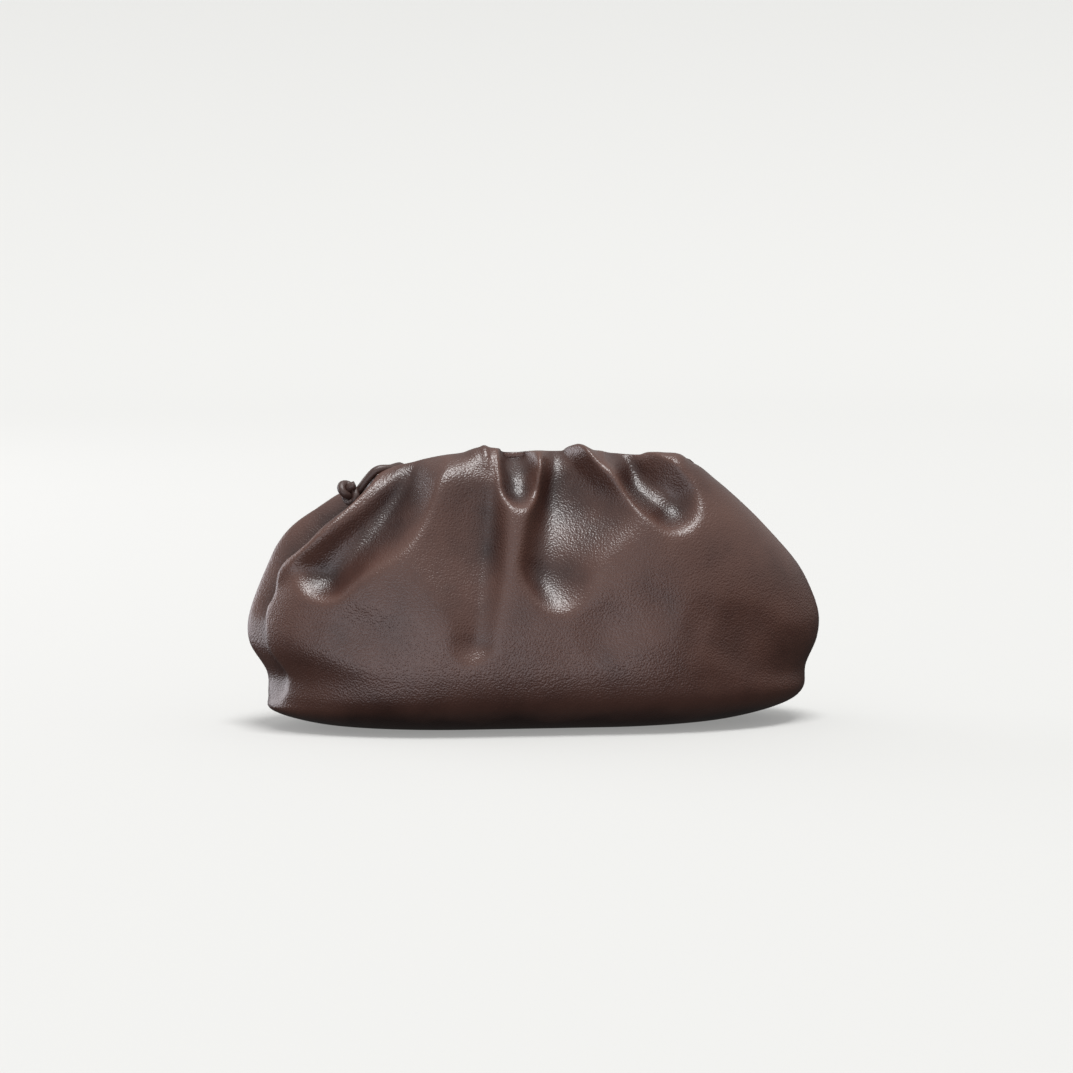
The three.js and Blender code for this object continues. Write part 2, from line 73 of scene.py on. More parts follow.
# The leather body: a closed section for each height, from the edge of the base up, over the gathered roll
# and down to the rim. left, right, front and back are shares of the bag's half sizes, or of the mouth's on
# the last three rows. cap: length of a section's round ends, a share of its half width. up: height in its
# middle. leftSag and rightSag: how far its ends hang below that. backDown: how much lower its back is, all
# shares of the height.
sectionColumns = ("on", "left", "right", "front", "back", "cap", "up", "leftSag", "rightSag", "backDown")
sections = [dict(zip(sectionColumns, row)) for row in (
    ("bag", 0.60, 0.52, 0.42, 0.54, 0.60, 0, 0, 0, 0),
    ("bag", 0.77, 0.71, 0.62, 0.70, 0.62, 0.018, 0, 0, 0),
    ("bag", 0.91, 0.875, 0.80, 0.85, 0.66, 0.06, 0, 0, 0),
    ("bag", 0.92, 0.945, 0.93, 0.95, 0.68, 0.11, 0, 0, 0),
    ("bag", 0.925, 0.955, 0.99, 0.99, 0.72, 0.19, 0, 0, 0),
    ("bag", 0.985, 0.995, 1.0, 1.0, 0.74, 0.29, 0, 0, 0),
    ("bag", 0.985, 0.995, 0.985, 0.98, 0.75, 0.39, 0, 0, 0),
    ("bag", 0.935, 0.94, 0.93, 0.91, 0.70, 0.55, 0.02, 0.02, 0),
    ("bag", 0.865, 0.81, 0.84, 0.80, 0.62, 0.725, 0.05, 0.05, 0),
    ("bag", 0.745, 0.70, 0.68, 0.64, 0.62, 0.87, 0.09, 0.10, 0.03),
    ("mouth", 1.05, 1.12, 3.2, 3.2, 0.4, 0.058, 0.012, 0.07, 0.055),
    ("mouth", 1.02, 1.02, 1.35, 1.35, mouthCap, 0.03, 0.04, 0.04, 0.01),
    ("mouth", 1, 1, 1, 1, mouthCap, -0.02, 0, 0, 0),
)]
sagPower = {"left": 3, "right": 6}  # how late each end turns down
lastLevel = len(sections) - 1

# The hollows and rolls of the gathers, each from its top near the mouth to its foot, at places (across, up):
# across is a share of the half width (of the half depth on the ends) and up a share of the height. bow: how
# far the middle of its line swings sideways, a share of its length. plusWide and minusWide: how far it
# reaches at the top, middle and foot towards +X (+Y on the ends) and the other way, shares of the height.
# deep: depths at the three places, shares of the depth, less than 0 for a roll. drop: how much it goes down
# as it goes in. plusBowl and minusBowl: 1 for a V, 2 for a round bowl, more for a steep wall. soft: how
# softly it meets the ridge round it.
foldColumns = (
    "face", "name", "top", "foot", "bow",
    "plusWide", "minusWide", "deep", "drop", "plusBowl", "minusBowl", "soft",
)
folds = [dict(zip(foldColumns, row)) for row in (
    ("front", "left scoop", (-0.42, 0.93), (-0.75, 0.54), 0,
     (0.09, 0.15, 0.085), (0.07, 0.1, 0.09), (0.05, 0.15, 0.09), 0.1, 1.6, 2.2, 0.15),
    ("front", "long scoop", (-0.18, 0.9), (-0.25, 0.33), 0,
     (0.04, 0.065, 0.06), (0.1, 0.28, 0.09), (0.03, 0.085, 0.035), 0.1, 1.9, 1.35, 0.3),
    ("front", "upright pocket", (-0.082, 1.0), (-0.086, 0.838), 0,
     (0.06, 0.065, 0.072), (0.06, 0.065, 0.07), (0.1, 0.15, 0.12), 0.1, 3, 3, 0.06),
    ("front", "middle scoop", (0.07, 0.95), (0.0, 0.57), 0,
     (0.08, 0.26, 0.16), (0.06, 0.085, 0.1), (0.1, 0.16, 0.09), 0.1, 1.5, 2.4, 0.16),
    ("front", "slanting pocket", (0.26, 0.93), (0.435, 0.775), 0,
     (0.04, 0.08, 0.09), (0.05, 0.09, 0.095), (0.06, 0.14, 0.1), 0.25, 3, 1.7, 0.14),
    ("front", "left puff", (-0.21, 0.95), (-0.17, 0.95), 0,
     (0.05, 0.05, 0.05), (0.055, 0.06, 0.06), (-0.025, -0.035, -0.02), 1, 1.5, 1.5, 0.3),
    ("front", "pointed fold", (0.12, 0.96), (0.19, 0.87), 0,
     (0.04, 0.04, 0.04), (0.04, 0.04, 0.04), (-0.03, -0.03, -0.01), 1, 1.3, 1.3, 0.15),
    ("front", "right shoulder", (0.43, 0.93), (0.52, 0.88), 0,
     (0.09, 0.09, 0.09), (0.08, 0.08, 0.08), (-0.02, -0.025, -0.01), 1, 1.5, 1.5, 0.3),
    ("front", "left fold edge", (-0.49, 0.92), (-0.93, 0.5), 0,
     (0.03, 0.03, 0.03), (0.03, 0.03, 0.03), (-0.015, -0.02, -0.02), 0.1, 1, 1, 0.05),
    ("front", "hollow behind the left fold", (-0.56, 0.94), (-0.966, 0.55), 0,
     (0.04, 0.045, 0.045), (0.1, 0.1, 0.1), (0.05, 0.11, 0.05), 0.1, 3, 1.5, 0.05),
    ("front", "left dent", (-0.75, 0.38), (-0.5, 0.3), 0,
     (0.1, 0.1, 0.1), (0.1, 0.1, 0.1), (0.01, 0.02, 0.01), 0, 2, 2, 0.5),
    ("front", "right dent", (0.55, 0.36), (0.85, 0.24), 0,
     (0.1, 0.12, 0.1), (0.1, 0.12, 0.1), (0.01, 0.025, 0.015), 0, 2, 2, 0.5),
    ("front", "middle dent", (0.08, 0.32), (0.35, 0.42), 0,
     (0.1, 0.1, 0.1), (0.1, 0.1, 0.1), (0.005, 0.015, 0.01), 0, 2, 2, 0.5),
    ("left", "left tuck", (-0.14, 0.88), (-0.2, 0.47), 0,
     (0.12, 0.15, 0.13), (0.06, 0.07, 0.06), (0.15, 0.2, 0.1), 0.1, 1.5, 2.6, 0.08),
    ("left", "left side valley", (-0.17, 0.5), (-0.3, 0.2), 0,
     (0.1, 0.12, 0.12), (0.045, 0.045, 0.045), (0.06, 0.06, 0.03), 0, 1.5, 2.4, 0.1),
    ("left", "small fold", (0.25, 0.78), (0.3, 0.64), 0,
     (0.05, 0.05, 0.05), (0.05, 0.05, 0.05), (0.04, 0.07, 0.05), 0.1, 2, 2, 0.12),
    ("right", "right tuck", (0.12, 0.9), (0.15, 0.52), 0,
     (0.1, 0.13, 0.16), (0.09, 0.13, 0.16), (0.12, 0.14, 0.04), 0.3, 1.8, 1.8, 0.12),
    ("back", "back left scoop", (-0.4, 0.95), (-0.62, 0.5), -0.12,
     (0.08, 0.16, 0.16), (0.08, 0.12, 0.14), (0.08, 0.12, 0.05), 0.3, 1.7, 1.7, 0.2),
    ("back", "back pocket", (-0.15, 0.97), (-0.19, 0.76), 0.1,
     (0.06, 0.08, 0.09), (0.06, 0.08, 0.09), (0.1, 0.14, 0.1), 0.3, 2.2, 2.2, 0.12),
    ("back", "back middle scoop", (0.08, 0.95), (0.13, 0.4), 0.1,
     (0.07, 0.12, 0.14), (0.07, 0.18, 0.2), (0.08, 0.14, 0.04), 0.3, 1.6, 1.6, 0.2),
    ("back", "back right scoop", (0.35, 0.95), (0.7, 0.58), -0.1,
     (0.07, 0.12, 0.14), (0.07, 0.1, 0.12), (0.08, 0.13, 0.06), 0.3, 1.8, 1.8, 0.15),
)]
lineSteps = 13  # places along a fold's line
edgeFade = 0.12  # how near a face's own edge its folds fade out, a share of the half depth
endFade = (0.45, 0.85)  # where the ends' folds fade in, as shares of the way across
rimFade = (2.2, 1)  # where all folds fade out, as levels below the rim
underRoll = 2.6  # levels from the rim down to the wall under the roll


def sizedSection(section):
    # its sizes in metres
    onMouth = section["on"] == "mouth"
    halfX, halfY = (mouthHalfLength, mouthHalfDepth) if onMouth else (halfWidth, halfDepth)
    archUp, archSag = (bag["rimMiddleUp"], bag["rimMiddleUp"] - bag["rimEndUp"]) if onMouth else (0, 0)
    across = [section[side] * halfX for side in ("left", "right")]
    deep = [section[side] * halfY for side in ("front", "back")]
    lengths = (section["up"] + archUp, section["leftSag"], section["rightSag"], section["backDown"], archSag)
    return (*across, *deep, section["cap"], *(share * bag["height"] for share in lengths))


sizes = np.array([sizedSection(section) for section in sections])


def smoothThrough(rows, level):
    # a smooth curve through the rows, read at levels from 0 to the last row
    last = len(rows) - 1
    start = np.minimum(np.floor(level).astype(int), last - 1)
    a, b, c, d = (rows[np.clip(start + k, 0, last)] for k in (-1, 0, 1, 2))
    t = (level - start)[:, None]
    return b + 0.5 * t * (c - a + t * (2 * a - 5 * b + 4 * c - d + t * (3 * (b - c) + d - a)))


def plainPoints(dx, dy, level):
    # the unpleated form, for directions round the bag and levels up the sections
    left, right, front, back, cap, up, leftSag, rightSag, backDown, arch = smoothThrough(sizes, level).T
    out = np.abs(dx)
    intoCap = np.maximum(0, out - (1 - cap)) / cap
    deep = np.where(dy < 0, front, back) * np.sqrt(np.maximum(0, 1 - intoCap ** 2))
    x = np.where(dx < 0, left, right) * dx
    sag = np.where(dx < 0, leftSag * out ** sagPower["left"], rightSag * out ** sagPower["right"])
    behind = smooth(-0.3, 0.6, dy) * backDown
    return np.stack([x, deep * np.sign(dy), np.maximum(0, up - arch * out ** 3 - sag - behind)], 1)


def foldLine(fold):
    acrossSize = halfWidth if fold["face"] in ("front", "back") else halfDepth
    top, foot = (np.array(fold[end]) * (acrossSize, bag["height"]) for end in ("top", "foot"))
    way = foot - top
    middle = (top + foot) / 2 + np.array([-way[1], way[0]]) * 2 * fold["bow"]
    t = np.linspace(0, 1, lineSteps)[:, None]
    return (1 - t) ** 2 * top + 2 * t * (1 - t) * middle + t * t * foot


def nearestOnLine(line, flat):
    # how far each place is from the line, how far along (0 to 1) its nearest point is, and how squarely on
    # the line's plus side it lies
    distance = np.full(len(flat), 1.0)
    along = np.zeros(len(flat))
    side = np.zeros(len(flat))
    for i in range(len(line) - 1):
        step = line[i + 1] - line[i]
        share = np.clip((flat - line[i]) @ step / (step @ step), 0, 1)
        gap = flat - (line[i] + share[:, None] * step)
        length = np.linalg.norm(gap, axis=1)
        closer = length < distance
        cross = step[0] * gap[:, 1] - step[1] * gap[:, 0]
        cross /= np.linalg.norm(step) * np.maximum(length, 1e-9)
        distance[closer] = length[closer]
        along[closer] = ((i + share) / (len(line) - 1))[closer]
        side[closer] = cross[closer]
    return distance, along, side


def through(three, along):
    # a size given at a fold's top, middle and foot, at a place along it
    top, middle, foot = three
    t = np.sin(along * pi / 2) ** 1.3  # levels out towards the foot
    return top + (foot - top) * t + 4 * t * (1 - t) * (middle - (top + foot) / 2)


def faceShare(face, points, dx, level):
    # how strongly a face's folds act
    awayFromRim = 1 - smooth(lastLevel - rimFade[0], lastLevel - rimFade[1], level)
    side = {"front": -1, "back": 1, "left": -1, "right": 1}[face]
    if face in ("front", "back"):
        return awayFromRim * smooth(0, edgeFade * halfDepth, side * points[:, 1])
    return awayFromRim * smooth(*endFade, side * dx)


def clearOfMouth(points, level):
    # moved out where a deep fold would go through the leather that lines the mouth
    radius = mouthHalfDepth + 2 * bag["leather"] + bag["hollowGap"]
    straight = mouthHalfLength - mouthHalfDepth
    nearest = np.clip(points[:, 0], -straight, straight)
    away = np.stack([points[:, 0] - nearest, points[:, 1]], 1)
    length = np.maximum(np.linalg.norm(away, axis=1), 1e-6)
    missing = np.maximum(0, radius - length) * (1 - smooth(lastLevel - 2, lastLevel - 1, level))
    moved = points.copy()
    moved[:, :2] = away * ((length + missing) / length)[:, None]
    moved[:, 0] += nearest
    return moved


def outwardWays(dx, dy, level):
    # level directions square to the plain form. The roll over the top has those of the wall under it, so
    # that it moves in as one with it
    nudge = 0.01
    c, s = cos(nudge), sin(nudge)
    steady = np.clip(level, nudge, lastLevel - underRoll)
    onward = plainPoints(dx * c - dy * s, dx * s + dy * c, steady)
    backward = plainPoints(dx * c + dy * s, dy * c - dx * s, steady)
    upStep = plainPoints(dx, dy, steady + nudge) - plainPoints(dx, dy, steady - nudge)
    outwards = np.cross(onward - backward, upStep)
    outwards[:, 2] = 0
    return outwards / np.maximum(np.linalg.norm(outwards, axis=1), 1e-12)[:, None]


def foldedPoints(dx, dy, level):
    # the pleated form, how deep each point is pressed in, and how sharp its fold is to stay
    points = plainPoints(dx, dy, level)
    outwards = outwardWays(dx, dy, level)
    hollows = np.zeros(len(points))
    drops = np.zeros(len(points))
    rolls = np.zeros(len(points))
    sharp = np.zeros(len(points))
    for fold in folds:
        onFront = fold["face"] in ("front", "back")
        share = faceShare(fold["face"], points, dx, level)
        flat = points[:, [0, 2]] if onFront else points[:, [1, 2]]
        distance, along, side = nearestOnLine(foldLine(fold), flat)
        plus, minus = through(fold["plusWide"], along), through(fold["minusWide"], along)
        onPlus = smooth(-0.8, 0.8, side)
        wide = bag["height"] * (minus + (plus - minus) * onPlus)
        bowl = fold["minusBowl"] + (fold["plusBowl"] - fold["minusBowl"]) * onPlus
        inside = 1 - np.minimum(distance / wide, 3) ** bowl
        shape = (inside + np.sqrt(inside ** 2 + fold["soft"] ** 2)) / (1 + sqrt(1 + fold["soft"] ** 2))
        press = share * bag["depth"] * through(fold["deep"], along) * shape
        drops += (fold["drop"] * press) ** 3
        hollows += np.maximum(press, 0) ** 3
        rolls += np.minimum(press, 0)
        if fold["name"] == "left fold edge":
            sharp = share * smooth(0, 0.7, shape)
    press = np.cbrt(hollows)
    moved = points - outwards * (press + rolls)[:, None]
    moved[:, 2] -= np.cbrt(drops)
    moved = clearOfMouth(moved, level)
    moved[:, 2] = np.maximum(moved[:, 2], 0)
    return moved, press, sharp


bodyMesh = {
    "round": 340,
    "up": 140,
    "frontShare": 0.51,  # share of the columns that lie across the front
    "backShare": 0.27,
    "endsFrom": 0.93,  # where the ends' own steps begin, as a share of the half width
    "rowsUp": 0.85,  # under 1, the rows crowd towards the mouth
    "deepShade": 0.01,  # metres below the leather round it at which a hollow's painted shade is darkest
    "shadeReach": 9,  # rows and columns each way that count as round it
    "roundShare": 0.8,  # how much of what is round it is taken off
    "paintedRidgeLight": -0.3,  # painted light: the most that a ridge is painted lighter
    "paintedUnderShadeFrom": (0.015, 0.1),  # heights under which the bag is painted darker, painted shade under it, as shares of its height
    "keptSharp": 0.6,  # how much of the relaxing a sharp fold edge is spared
    "relaxing": (0.5, 4),  # factor and turns
}


def directionsRound(count):
    # the columns' directions, anticlockwise from the front's left end
    front = round(count * bodyMesh["frontShare"])
    back = round(count * bodyMesh["backShare"])
    end = (count - front - back) // 2
    endAngle = acos(bodyMesh["endsFrom"])
    frontX = bodyMesh["endsFrom"] * (2 * np.arange(front) / front - 1)
    rightAngle = endAngle * (2 * np.arange(end) / end - 1)
    backX = -bodyMesh["endsFrom"] * (2 * np.arange(back) / back - 1)
    leftEnd = count - front - back - end
    leftAngle = pi + endAngle * (2 * np.arange(leftEnd) / leftEnd - 1)
    frontY, backY = -np.sqrt(1 - frontX ** 2), np.sqrt(1 - backX ** 2)
    dx = np.concatenate([frontX, np.cos(rightAngle), backX, np.cos(leftAngle)])
    dy = np.concatenate([frontY, np.sin(rightAngle), backY, np.sin(leftAngle)])
    return dx, dy


def paintedShadingOf(press, row, column, level):
    # painted shade and painted light for the colour: how sunk each point is against the leather round it,
    # painted shade in hollows and painted light on ridges, and fully painted shade under the bag
    grid = np.zeros((bodyMesh["up"] + 2, bodyMesh["round"]))
    grid[row, column] = press
    reach = bodyMesh["shadeReach"]
    for axis in (0, 1):
        grid = sum(np.roll(grid, step, axis) for step in range(-reach, reach + 1)) / (2 * reach + 1)
    sunk = (press - bodyMesh["roundShare"] * grid[row, column]) / bodyMesh["deepShade"]
    upColumn = sectionColumns.index("up") - 1  # the sized rows leave out the first column
    height = np.interp(level, range(lastLevel + 1), sizes[:, upColumn]) / bag["height"]
    # painted shade under the bag, darkest at its base
    paintedUnderShade = 1 - smooth(*bodyMesh["paintedUnderShadeFrom"], height)
    return np.clip(sunk, bodyMesh["paintedRidgeLight"], 1) + paintedUnderShade


def makeLeatherBody():
    deselectAll()
    count, rows = bodyMesh["round"], bodyMesh["up"]
    bpy.ops.mesh.primitive_uv_sphere_add(segments=count, ring_count=rows + 1, radius=1)
    body = bpy.context.object
    body.name = "soft_leather_body"
    mesh = body.data
    places = np.zeros(len(mesh.vertices) * 3)
    mesh.vertices.foreach_get("co", places)
    places = places.reshape(-1, 3)
    # the sphere's own rows and columns, with row 0 at the pole that becomes the base's middle
    turn = np.arctan2(places[:, 1], places[:, 0]) % (2 * pi)
    column = np.round(turn / (2 * pi) * count).astype(int) % count
    lift = np.arcsin(np.clip(places[:, 2], -1, 1)) / pi + 0.5
    row = np.round(lift * (rows + 1)).astype(int)
    roundX, roundY = directionsRound(count)
    level = np.clip((row - 1) / (rows - 1), 0, 1) ** bodyMesh["rowsUp"] * lastLevel
    moved, press, sharp = foldedPoints(roundX[column], roundY[column], level)
    moved[row == 0] = (0, 0, 0)
    mesh.vertices.foreach_set("co", moved.ravel())
    # painted shading: darker in the hollows and under the bag, lighter on the ridges
    paintedShading = mesh.attributes.new("paintedShading", "FLOAT", "POINT")
    paintedShading.data.foreach_set("value", paintedShadingOf(press, row, column, level))
    relaxed = body.vertex_groups.new(name="relaxed")
    for index, kept in enumerate(sharp):
        relaxed.add([index], float(1 - bodyMesh["keptSharp"] * kept), "REPLACE")
    # the top pole opens into the mouth
    bpy.ops.object.mode_set(mode="EDIT")
    bpy.ops.mesh.select_all(action="DESELECT")
    bpy.ops.object.mode_set(mode="OBJECT")
    for index in np.nonzero(row == rows + 1)[0]:
        mesh.vertices[int(index)].select = True
    bpy.ops.object.mode_set(mode="EDIT")
    bpy.ops.mesh.delete(type="VERT")
    bpy.ops.object.mode_set(mode="OBJECT")
    print("leather body", len(mesh.vertices), "vertices")
    return body


def thicken(piece):
    # the folds relax as leather does, and the skin gets its wall, inwards
    bpy.context.view_layer.objects.active = piece
    relax = piece.modifiers.new("relax", "SMOOTH")
    relax.factor, relax.iterations = bodyMesh["relaxing"]
    relax.vertex_group = "relaxed"
    bpy.ops.object.modifier_apply(modifier=relax.name)
    wall = piece.modifiers.new("wall", "SOLIDIFY")
    wall.thickness = bag["leather"]
    wall.offset = -1
    wall.use_even_offset = False
    bpy.ops.object.modifier_apply(modifier=wall.name)
    piece.data.shade_smooth()


def linear(hexColour):
    channels = [int(hexColour[i:i + 2], 16) / 255 for i in (1, 3, 5)]
    return [c / 12.92 if c <= 0.04045 else ((c + 0.055) / 1.055) ** 2.4 for c in channels] + [1]


def addNode(tree, kind, settings=None, links=None):
    node = tree.nodes.new(kind)
    for key, value in (settings or {}).items():
        if isinstance(key, str) and hasattr(node, key):
            setattr(node, key, value)
        else:
            node.inputs[key].default_value = value
    for key, source in (links or {}).items():
        tree.links.new(source, node.inputs[key])
    return node


leatherLook = {
    # the colour of deep folds in painted shade, plain leather, and ridges painted lighter, painted light;
    # the dye's own mottle moves between them too; and where each stands on the way from sunk to raised
    "colours": (("#280f09", 0.0), ("#53362d", 0.5), ("#624338", 1.0)),
    "paintedShadeStrength": 0.62,  # painted shade: how far a fully sunk place goes towards the first colour
    "mottleSize": 0.03,
    "grainSize": 0.0009,  # twice the real pebbles, so that they show
    "creaseSize": 0.005,
    "grainDepth": 0.00024,
    "creaseDepth": 0.00004,
    "roughness": (0.32, 0.44),
    "specular": 0.8,  # a little more than plain leather's, for its satin finish
}
edgeLook = {
    **leatherLook,
    "colours": (("#1c0e0b", 0.0), ("#432b24", 0.5), ("#50372f", 1.0)),
    "grainDepth": 0.00008,
    "roughness": (0.42, 0.56),
}


def leatherFinish(name, look):
    # Lambskin: a fine pebbled grain that breaks up its soft highlights, with painted shade in its hollows
    # and under the bag and painted light on its ridges. The leather of the rim and strap is a little darker
    # and duller
    material = bpy.data.materials.new(name)
    material.use_nodes = True
    tree = material.node_tree
    shader = tree.nodes["Principled BSDF"]
    place = {"Vector": addNode(tree, "ShaderNodeTexCoord").outputs["Object"]}
    mottle = addNode(tree, "ShaderNodeTexNoise", {"Scale": 1 / look["mottleSize"], "Detail": 4}, place)
    pebbles = {"feature": "SMOOTH_F1", "Scale": 1 / look["grainSize"]}
    grain = addNode(tree, "ShaderNodeTexVoronoi", pebbles, place)
    crease = addNode(tree, "ShaderNodeTexNoise", {"Scale": 1 / look["creaseSize"], "Detail": 5}, place)
    paintedShading = addNode(tree, "ShaderNodeAttribute", {"attribute_name": "paintedShading"})
    # the dye's own mottle, darkened by the painted shade in hollows and under the bag and lightened by the
    # painted light on ridges
    mottleWithPaintedShading = addNode(
        tree, "ShaderNodeMath", {"operation": "MULTIPLY_ADD", 1: -look["paintedShadeStrength"]},
        {0: paintedShading.outputs["Fac"], 2: mottle.outputs["Fac"]},
    )
    tone = addNode(tree, "ShaderNodeValToRGB", links={"Fac": mottleWithPaintedShading.outputs[0]})
    tone.color_ramp.elements.new(0.5)
    for stop, (colour, at) in zip(tone.color_ramp.elements, look["colours"]):
        stop.position = at
        stop.color = linear(colour)
    low, high = look["roughness"]
    creaseHeight = crease.outputs["Fac"]
    rough = addNode(tree, "ShaderNodeMapRange", {"To Min": low, "To Max": high}, {"Value": creaseHeight})
    creased = addNode(tree, "ShaderNodeBump", {"Distance": look["creaseDepth"]}, {"Height": creaseHeight})
    grained = addNode(
        tree, "ShaderNodeBump", {"Distance": look["grainDepth"], "invert": True},
        {"Height": grain.outputs["Distance"], "Normal": creased.outputs["Normal"]},
    )
    tree.links.new(tone.outputs["Color"], shader.inputs["Base Color"])
    tree.links.new(rough.outputs["Result"], shader.inputs["Roughness"])
    tree.links.new(grained.outputs["Normal"], shader.inputs["Normal"])
    shader.inputs["Specular IOR Level"].default_value = look["specular"]
    return material


leather = leatherFinish("softLambskin", leatherLook)
edgeLeather = leatherFinish("boundEdgeLambskin", edgeLook)
body = makeLeatherBody()
thicken(body)
body.data.materials.append(leather)
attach(body, "root")
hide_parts("leather_body")

rim = {
    "steps": 160,
    "sides": 16,
    "square": 2.6,  # 2 is a round bar
}


def rimHeight(dx):
    return bag["height"] * (bag["rimMiddleUp"] - (bag["rimMiddleUp"] - bag["rimEndUp"]) * abs(dx) ** 3)


def makeMouthRim():
    # one slim bar bound in leather, round the mouth and along its arch
    torusThin = 0.2  # the start's own bar, against a ring of radius 1
    deselectAll()
    bpy.ops.mesh.primitive_torus_add(
        major_segments=rim["steps"], minor_segments=rim["sides"], major_radius=1, minor_radius=torusThin,
    )
    bar = bpy.context.object
    bar.name = "bound_mouth_rim"
    halfLength = bag["mouthLength"] / 2 - bag["rimWide"] / 2
    halfGap = (bag["mouthGap"] + bag["rimWide"]) / 2
    straight = halfLength - halfGap
    roundLength = 4 * straight + 2 * pi * halfGap
    quarter = pi * halfGap / 2
    for vertex in bar.data.vertices:
        place = vertex.co
        turn = (np.arctan2(place.y, place.x) / (2 * pi)) % 1
        run = turn * roundLength
        # right end, back bar, left end, front bar
        if run < quarter or run > roundLength - quarter:
            angle = (run if run < quarter else run - roundLength) / halfGap
            x, y, out = straight + halfGap * cos(angle), halfGap * sin(angle), (cos(angle), sin(angle))
        elif run < quarter + 2 * straight:
            x, y, out = straight - (run - quarter), halfGap, (0, 1)
        elif run < 3 * quarter + 2 * straight:
            angle = pi / 2 + (run - quarter - 2 * straight) / halfGap
            x, y, out = -straight + halfGap * cos(angle), halfGap * sin(angle), (cos(angle), sin(angle))
        else:
            x, y, out = -straight + (run - 3 * quarter - 2 * straight), -halfGap, (0, -1)
        across = (np.hypot(place.x, place.y) - 1) / torusThin
        up = place.z / torusThin
        size = (abs(across) ** rim["square"] + abs(up) ** rim["square"]) ** (-1 / rim["square"])
        across *= size * bag["rimWide"] / 2
        up *= size * bag["rimTall"] / 2
        vertex.co = (x + out[0] * across, y + out[1] * across, rimHeight(x / halfLength) + up)
    bar.data.shade_smooth()
    return bar


mouthRim = makeMouthRim()
mouthRim.data.materials.append(edgeLeather)
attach(mouthRim, "root")
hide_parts("mouth_rim")
print("mouth rim made")

strap = {
    "wide": 0.0056,
    "thick": 0.0042,
    "square": 2.8,  # 2 is a round strap
    "steps": 170,
    "sides": 16,
    "knotHalf": 0.0055,  # from a knot's middle to the middle of its outer turns
    "knotDeep": 0.0026,  # how far its turns pass in front of and behind each other
    "knotFromMouth": 0.0135,  # from the rim's end to a knot's middle
    "knotTurn": (5.74, 11.0),  # along an open trefoil, in radians
    "knotPlaces": 22,
    "knotSink": 0.001,  # how far the soft leather gives under a knot
    "back": {"left": -0.012, "right": 0.007},  # from the mouth's middle line back to a knot's middle
    # its way out of the mouth: how far beyond the rim's end, the share of the way back to the knot's middle,
    # and how high above its seat on the rim
    "way": ((-0.017, 0.05, -0.006), (-0.015, 0.12, 0.0022), (-0.008, 0.8, 0.0022), (0.0005, 1, 0.001)),
}


def makeStrapKnot(end, leatherTree):
    # a strap end: out of the mouth, over the gathered roll, and tied in an overhand knot in the tuck beside
    # it
    side = -1 if end == "left" else 1
    rimEnd = bag["mouthLength"] / 2
    overRim = rimHeight(1) + (bag["rimTall"] + strap["thick"]) / 2
    turn = np.linspace(*strap["knotTurn"], strap["knotPlaces"])
    size = strap["knotHalf"] / 3
    knot = np.stack([
        side * (rimEnd + strap["knotFromMouth"] + size * (np.sin(turn) + 2 * np.sin(2 * turn))),
        strap["back"][end] - strap["knotDeep"] * np.sin(3 * turn),
        size * (np.cos(turn) - 2 * np.cos(2 * turn)),
    ], 1)
    tops = [leatherTree.ray_cast(Vector((x, y, 1)), Vector((0, 0, -1)))[0].z for x, y, z in knot]
    knot[:, 2] += max(top - z for top, z in zip(tops, knot[:, 2])) + strap["thick"] / 2 - strap["knotSink"]
    back = strap["back"][end]
    way = [(side * (rimEnd + beyond), share * back, overRim + up) for beyond, share, up in strap["way"]]
    places = np.array([*way, *knot])
    path = smoothThrough(places, np.linspace(0, len(places) - 1, strap["steps"] + 1))
    along = np.gradient(path, axis=0)
    along /= np.linalg.norm(along, axis=1)[:, None]
    sideways = np.cross(along, (0, -1, 0))
    sideways /= np.linalg.norm(sideways, axis=1)[:, None]
    facing = np.cross(sideways, along)
    deselectAll()
    bpy.ops.mesh.primitive_grid_add(x_subdivisions=strap["sides"], y_subdivisions=strap["steps"], size=2)
    piece = bpy.context.object
    piece.name = "tied_knot_" + end
    for vertex in piece.data.vertices:
        step = round((vertex.co.y + 1) / 2 * strap["steps"])
        angle = pi * vertex.co.x
        c, s = cos(angle), sin(angle)
        reach = (abs(c) ** strap["square"] + abs(s) ** strap["square"]) ** (-1 / strap["square"])
        across = sideways[step] * c * reach * strap["thick"] / 2
        vertex.co = path[step] + across + facing[step] * s * reach * strap["wide"] / 2
    bpy.ops.object.mode_set(mode="EDIT")
    bpy.ops.mesh.select_all(action="SELECT")
    bpy.ops.mesh.remove_doubles(threshold=1e-6)
    bpy.ops.mesh.fill_holes(sides=0)
    bpy.ops.mesh.normals_make_consistent(inside=False)
    bpy.ops.object.mode_set(mode="OBJECT")
    piece.data.shade_smooth()
    return piece


leatherTree = BVHTree.FromPolygons(
    [vertex.co for vertex in body.data.vertices], [face.vertices for face in body.data.polygons],
)
for end in ("left", "right"):
    knot = makeStrapKnot(end, leatherTree)
    knot.data.materials.append(edgeLeather)
    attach(knot, "root")
    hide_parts("knot_" + end)
    print("strap end and knot made,", end)

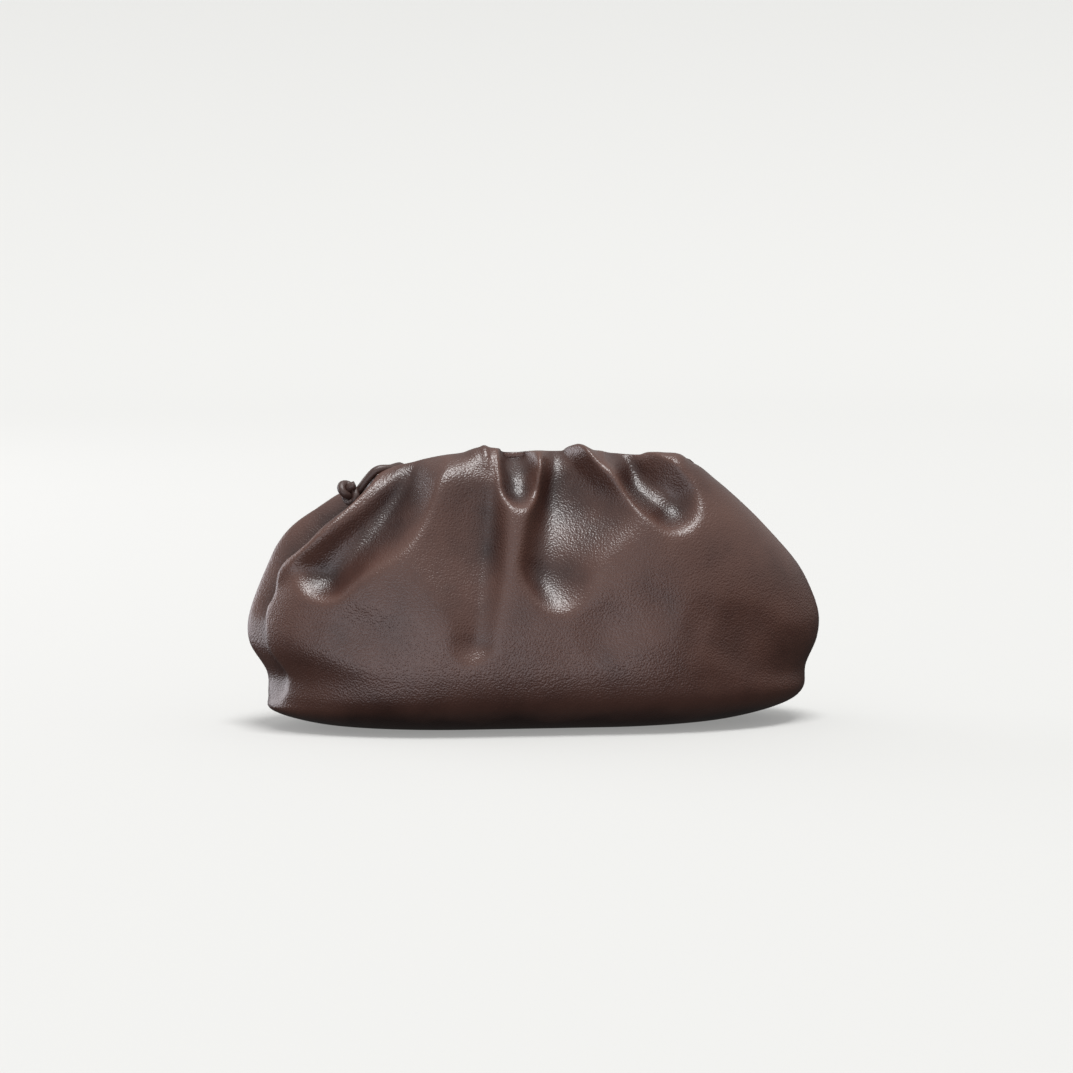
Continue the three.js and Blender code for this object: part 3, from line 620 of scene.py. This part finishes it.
# Studio: a pale floor that sweeps up behind the bag, soft light from all over the ceiling, a softbox
# overhead for the bright slopes, and a wide low one in front, whose dull sheen lies on the upright leather
# only
studio = {
    "lookAt": (0.0014, 0, 0.1),
    "turn": -8,  # degrees, the camera stands to the left
    "raise": 5,
    "distance": 2.2,
    "frameWidth": 0.5744,  # metres across the picture where the bag stands
    "suns": (  # where from, strength, and angle in degrees: the ceiling and the softbox
        ((0, 0, 1), 1.35, 170),
        ((0.06, -0.25, 1.0), 2.75, 26),
    ),
    # turn and raise in degrees, distance, width, height, power: the low front light and one behind the left
    "fronts": (
        (-20, -7, 2.6, 3.9, 1.0, 29),
        (-130, 5, 2.6, 2.0, 1.5, 30),
    ),
    "frontColour": "#efecf2",
    "world": 0.06,
    "white": "#efefed",  # the surroundings' colour and the paper's glow
    "paper": "#b4b4b2",
    "paperGlow": 0.3,  # the paper is lit from below too, so its shadows stay pale
    "floorAlong": (-2, 8),  # from in front of the bag to behind it, in metres measured along the paper
    "floorHalfWidth": 7,
    "sweepFrom": 3.0,
    "sweepRadius": 2.5,
    "sensor": 36,
}


def aim(thing, place, target):
    thing.location = place
    thing.rotation_euler = (Vector(target) - Vector(place)).to_track_quat("-Z", "Y").to_euler()


def direction(turn, lift):
    turn, lift = radians(turn), radians(lift)
    return Vector((sin(turn) * cos(lift), -cos(turn) * cos(lift), sin(lift)))


def makeFloor():
    deselectAll()
    bpy.ops.mesh.primitive_grid_add(x_subdivisions=2, y_subdivisions=60, size=2)
    floor = bpy.context.object
    floor.name = "floor"
    start, radius = studio["sweepFrom"], studio["sweepRadius"]
    near, far = studio["floorAlong"]
    for vertex in floor.data.vertices:
        run = (near + far) / 2 + vertex.co.y * (far - near) / 2
        angle = max(0, run - start) / radius
        y = min(run, start) + radius * sin(angle)
        vertex.co = (vertex.co.x * studio["floorHalfWidth"], y, radius * (1 - cos(angle)))
    paper = bpy.data.materials.new("paleFloor")
    paper.use_nodes = True
    shader = paper.node_tree.nodes["Principled BSDF"]
    shader.inputs["Base Color"].default_value = linear(studio["paper"])
    shader.inputs["Roughness"].default_value = 0.95
    shader.inputs["Emission Color"].default_value = linear(studio["white"])
    shader.inputs["Emission Strength"].default_value = studio["paperGlow"]
    floor.data.materials.append(paper)
    floor.data.shade_smooth()
    # it throws no light up under the bag, and the front light may reach below its level
    floor.visible_diffuse = False
    floor.visible_glossy = False
    floor.visible_shadow = False


def makeStudio():
    makeFloor()
    world = bpy.data.worlds.new("studio")
    bpy.context.scene.world = world
    world.use_nodes = True
    background = world.node_tree.nodes["Background"]
    background.inputs["Color"].default_value = linear(studio["white"])
    background.inputs["Strength"].default_value = studio["world"]
    for place, strength, angle in studio["suns"]:
        bpy.ops.object.light_add(type="SUN")
        sun = bpy.context.object
        sun.data.energy = strength
        sun.data.angle = radians(angle)
        aim(sun, place, (0, 0, 0))
    middle = Vector(studio["lookAt"])
    for turn, lift, distance, wide, tall, power in studio["fronts"]:
        bpy.ops.object.light_add(type="AREA")
        panel = bpy.context.object
        panel.data.shape = "RECTANGLE"
        panel.data.size = wide
        panel.data.size_y = tall
        panel.data.energy = power
        panel.data.color = linear(studio["frontColour"])[:3]
        aim(panel, middle + direction(turn, lift) * distance, middle)
    bpy.ops.object.camera_add()
    camera = bpy.context.object
    aim(camera, middle + direction(studio["turn"], studio["raise"]) * studio["distance"], middle)
    camera.data.sensor_width = studio["sensor"]
    camera.data.lens = studio["sensor"] * studio["distance"] / studio["frameWidth"]
    bpy.context.scene.camera = camera
    bpy.context.scene.view_settings.view_transform = "Standard"


makeStudio()
print("studio made")
